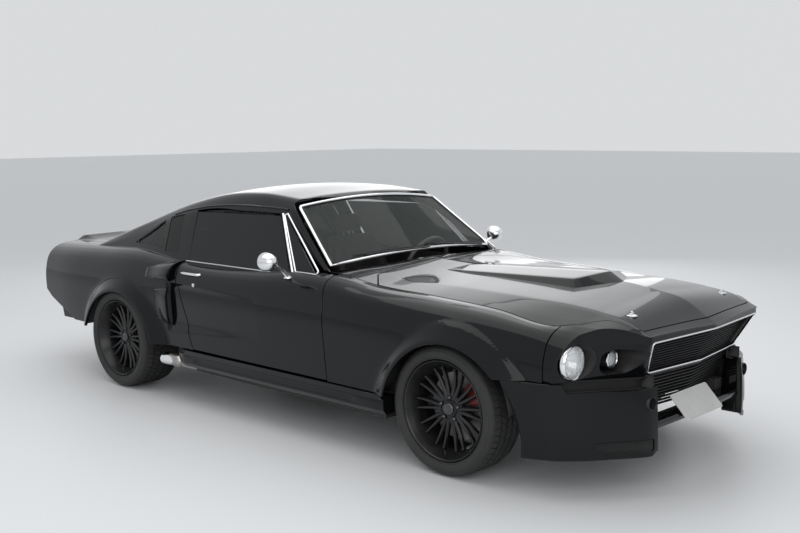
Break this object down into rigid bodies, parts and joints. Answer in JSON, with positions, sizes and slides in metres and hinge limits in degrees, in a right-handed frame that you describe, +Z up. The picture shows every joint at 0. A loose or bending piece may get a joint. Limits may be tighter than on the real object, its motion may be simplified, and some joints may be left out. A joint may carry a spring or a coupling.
{
  "type": "two-door fastback coupe car",
  "caption": "Low black fastback coupe with flared arches, opening doors, bonnet and boot, steered front wheels and a hollow cabin.",
  "frame": {"origin": "on the ground, under the middle of the car's length and width", "axes": "+X forward along the car, +Y to the car's left, +Z up"},
  "size_m": [4.74, 2.054, 1.318],
  "materials": {
    "gloss_black_paint": "clear-coated gloss",
    "satin_black": "satin",
    "chrome": "polished",
    "clear_glass": "clear, faint green",
    "dark_glass": "dark tint",
    "lamp_glass": "clear",
    "red_lens": "moulded lens",
    "black_leather": "stitched",
    "interior_plastic": "grained",
    "cast_metal": "cast",
    "rim_black": "gloss black",
    "tyre": "moulded rubber",
    "exhaust_steel": "stainless",
    "underbody": "sealed"
  },
  "bodies": {
    "body": {"floor_pan": "underbody", "cowl": "gloss_black_paint", "front_wings": "gloss_black_paint", "quarter_panels": "gloss_black_paint", "roof": "gloss_black_paint", "nose": "gloss_black_paint", "grilles": "satin_black", "front_valance": "gloss_black_paint", "side_skirts": "gloss_black_paint", "tail_panel": "gloss_black_paint", "tail_lamps": "red_lens", "rear_valance": "gloss_black_paint", "windscreen": "clear_glass", "windscreen_trim": "chrome", "rear_window": "dark_glass", "quarter_windows": "dark_glass", "headlamps": "lamp_glass", "driving_lamps": "lamp_glass", "seats": "black_leather", "rear_seat": "black_leather", "dashboard": "interior_plastic", "engine": "cast_metal", "front_crossmember": "cast_metal", "rear_axle": "cast_metal", "exhaust": "exhaust_steel", "fuel_tank": "underbody"},
    "left_door": {"door_left": "gloss_black_paint", "door_glass_left": "dark_glass", "mirror_left": "chrome"},
    "right_door": {"door_right": "gloss_black_paint", "door_glass_right": "dark_glass", "mirror_right": "chrome"},
    "bonnet": {"bonnet": "gloss_black_paint"},
    "boot_lid": {"boot_lid": "gloss_black_paint"},
    "steering_wheel": {"steering_wheel": "black_leather"},
    "left_knuckle": {"knuckle_left": "cast_metal"},
    "right_knuckle": {"knuckle_right": "cast_metal"},
    "front_left_wheel": {"wheel_front_left": "rim_black", "tyre_front_left": "tyre"},
    "front_right_wheel": {"wheel_front_right": "rim_black", "tyre_front_right": "tyre"},
    "rear_left_wheel": {"wheel_rear_left": "rim_black", "tyre_rear_left": "tyre"},
    "rear_right_wheel": {"wheel_rear_right": "rim_black", "tyre_rear_right": "tyre"}
  },
  "joints": [
    {"name": "left_door_hinge", "type": "hinge", "parent": "body", "child": "left_door", "pos_m": [0.625, 0.903, 0.6], "axis": [0, 0, -1], "range_deg": [0, 65]},
    {"name": "right_door_hinge", "type": "hinge", "parent": "body", "child": "right_door", "pos_m": [0.625, -0.903, 0.6], "axis": [0, 0, 1], "range_deg": [0, 65]},
    {"name": "bonnet_hinge", "type": "hinge", "parent": "body", "child": "bonnet", "pos_m": [0.675, 0, 0.925], "axis": [0, -1, 0], "range_deg": [0, 50]},
    {"name": "boot_hinge", "type": "hinge", "parent": "body", "child": "boot_lid", "pos_m": [-1.886, 0, 0.905], "axis": [0, 1, 0], "range_deg": [0, 50]},
    {"name": "left_steer", "type": "hinge", "parent": "body", "child": "left_knuckle", "pos_m": [1.41, 0.655, 0.323], "axis": [0, 0, 1], "range_deg": [-31, 31]},
    {"name": "right_steer", "type": "hinge", "parent": "body", "child": "right_knuckle", "pos_m": [1.41, -0.655, 0.323], "axis": [0, 0, 1], "range_deg": [-31, 31]},
    {"name": "steering_column", "type": "hinge", "parent": "body", "child": "steering_wheel", "pos_m": [0.22, 0.37, 0.815], "axis": [0.9272, 0, -0.3746], "range_deg": [-500, 500]},
    {"name": "front_left_roll", "type": "hinge", "parent": "left_knuckle", "child": "front_left_wheel", "pos_m": [1.41, 0.855, 0.323], "axis": [0, 1, 0], "continuous": true},
    {"name": "front_right_roll", "type": "hinge", "parent": "right_knuckle", "child": "front_right_wheel", "pos_m": [1.41, -0.855, 0.323], "axis": [0, 1, 0], "continuous": true},
    {"name": "rear_left_roll", "type": "hinge", "parent": "body", "child": "rear_left_wheel", "pos_m": [-1.333, 0.905, 0.323], "axis": [0, 1, 0], "continuous": true},
    {"name": "rear_right_roll", "type": "hinge", "parent": "body", "child": "rear_right_wheel", "pos_m": [-1.333, -0.905, 0.323], "axis": [0, 1, 0], "continuous": true}
  ],
  "couplings": [
    {"joint": "right_steer", "follows": "left_steer", "ratio": 1},
    {"joint": "steering_column", "follows": "left_steer", "ratio": -16}
  ]
}
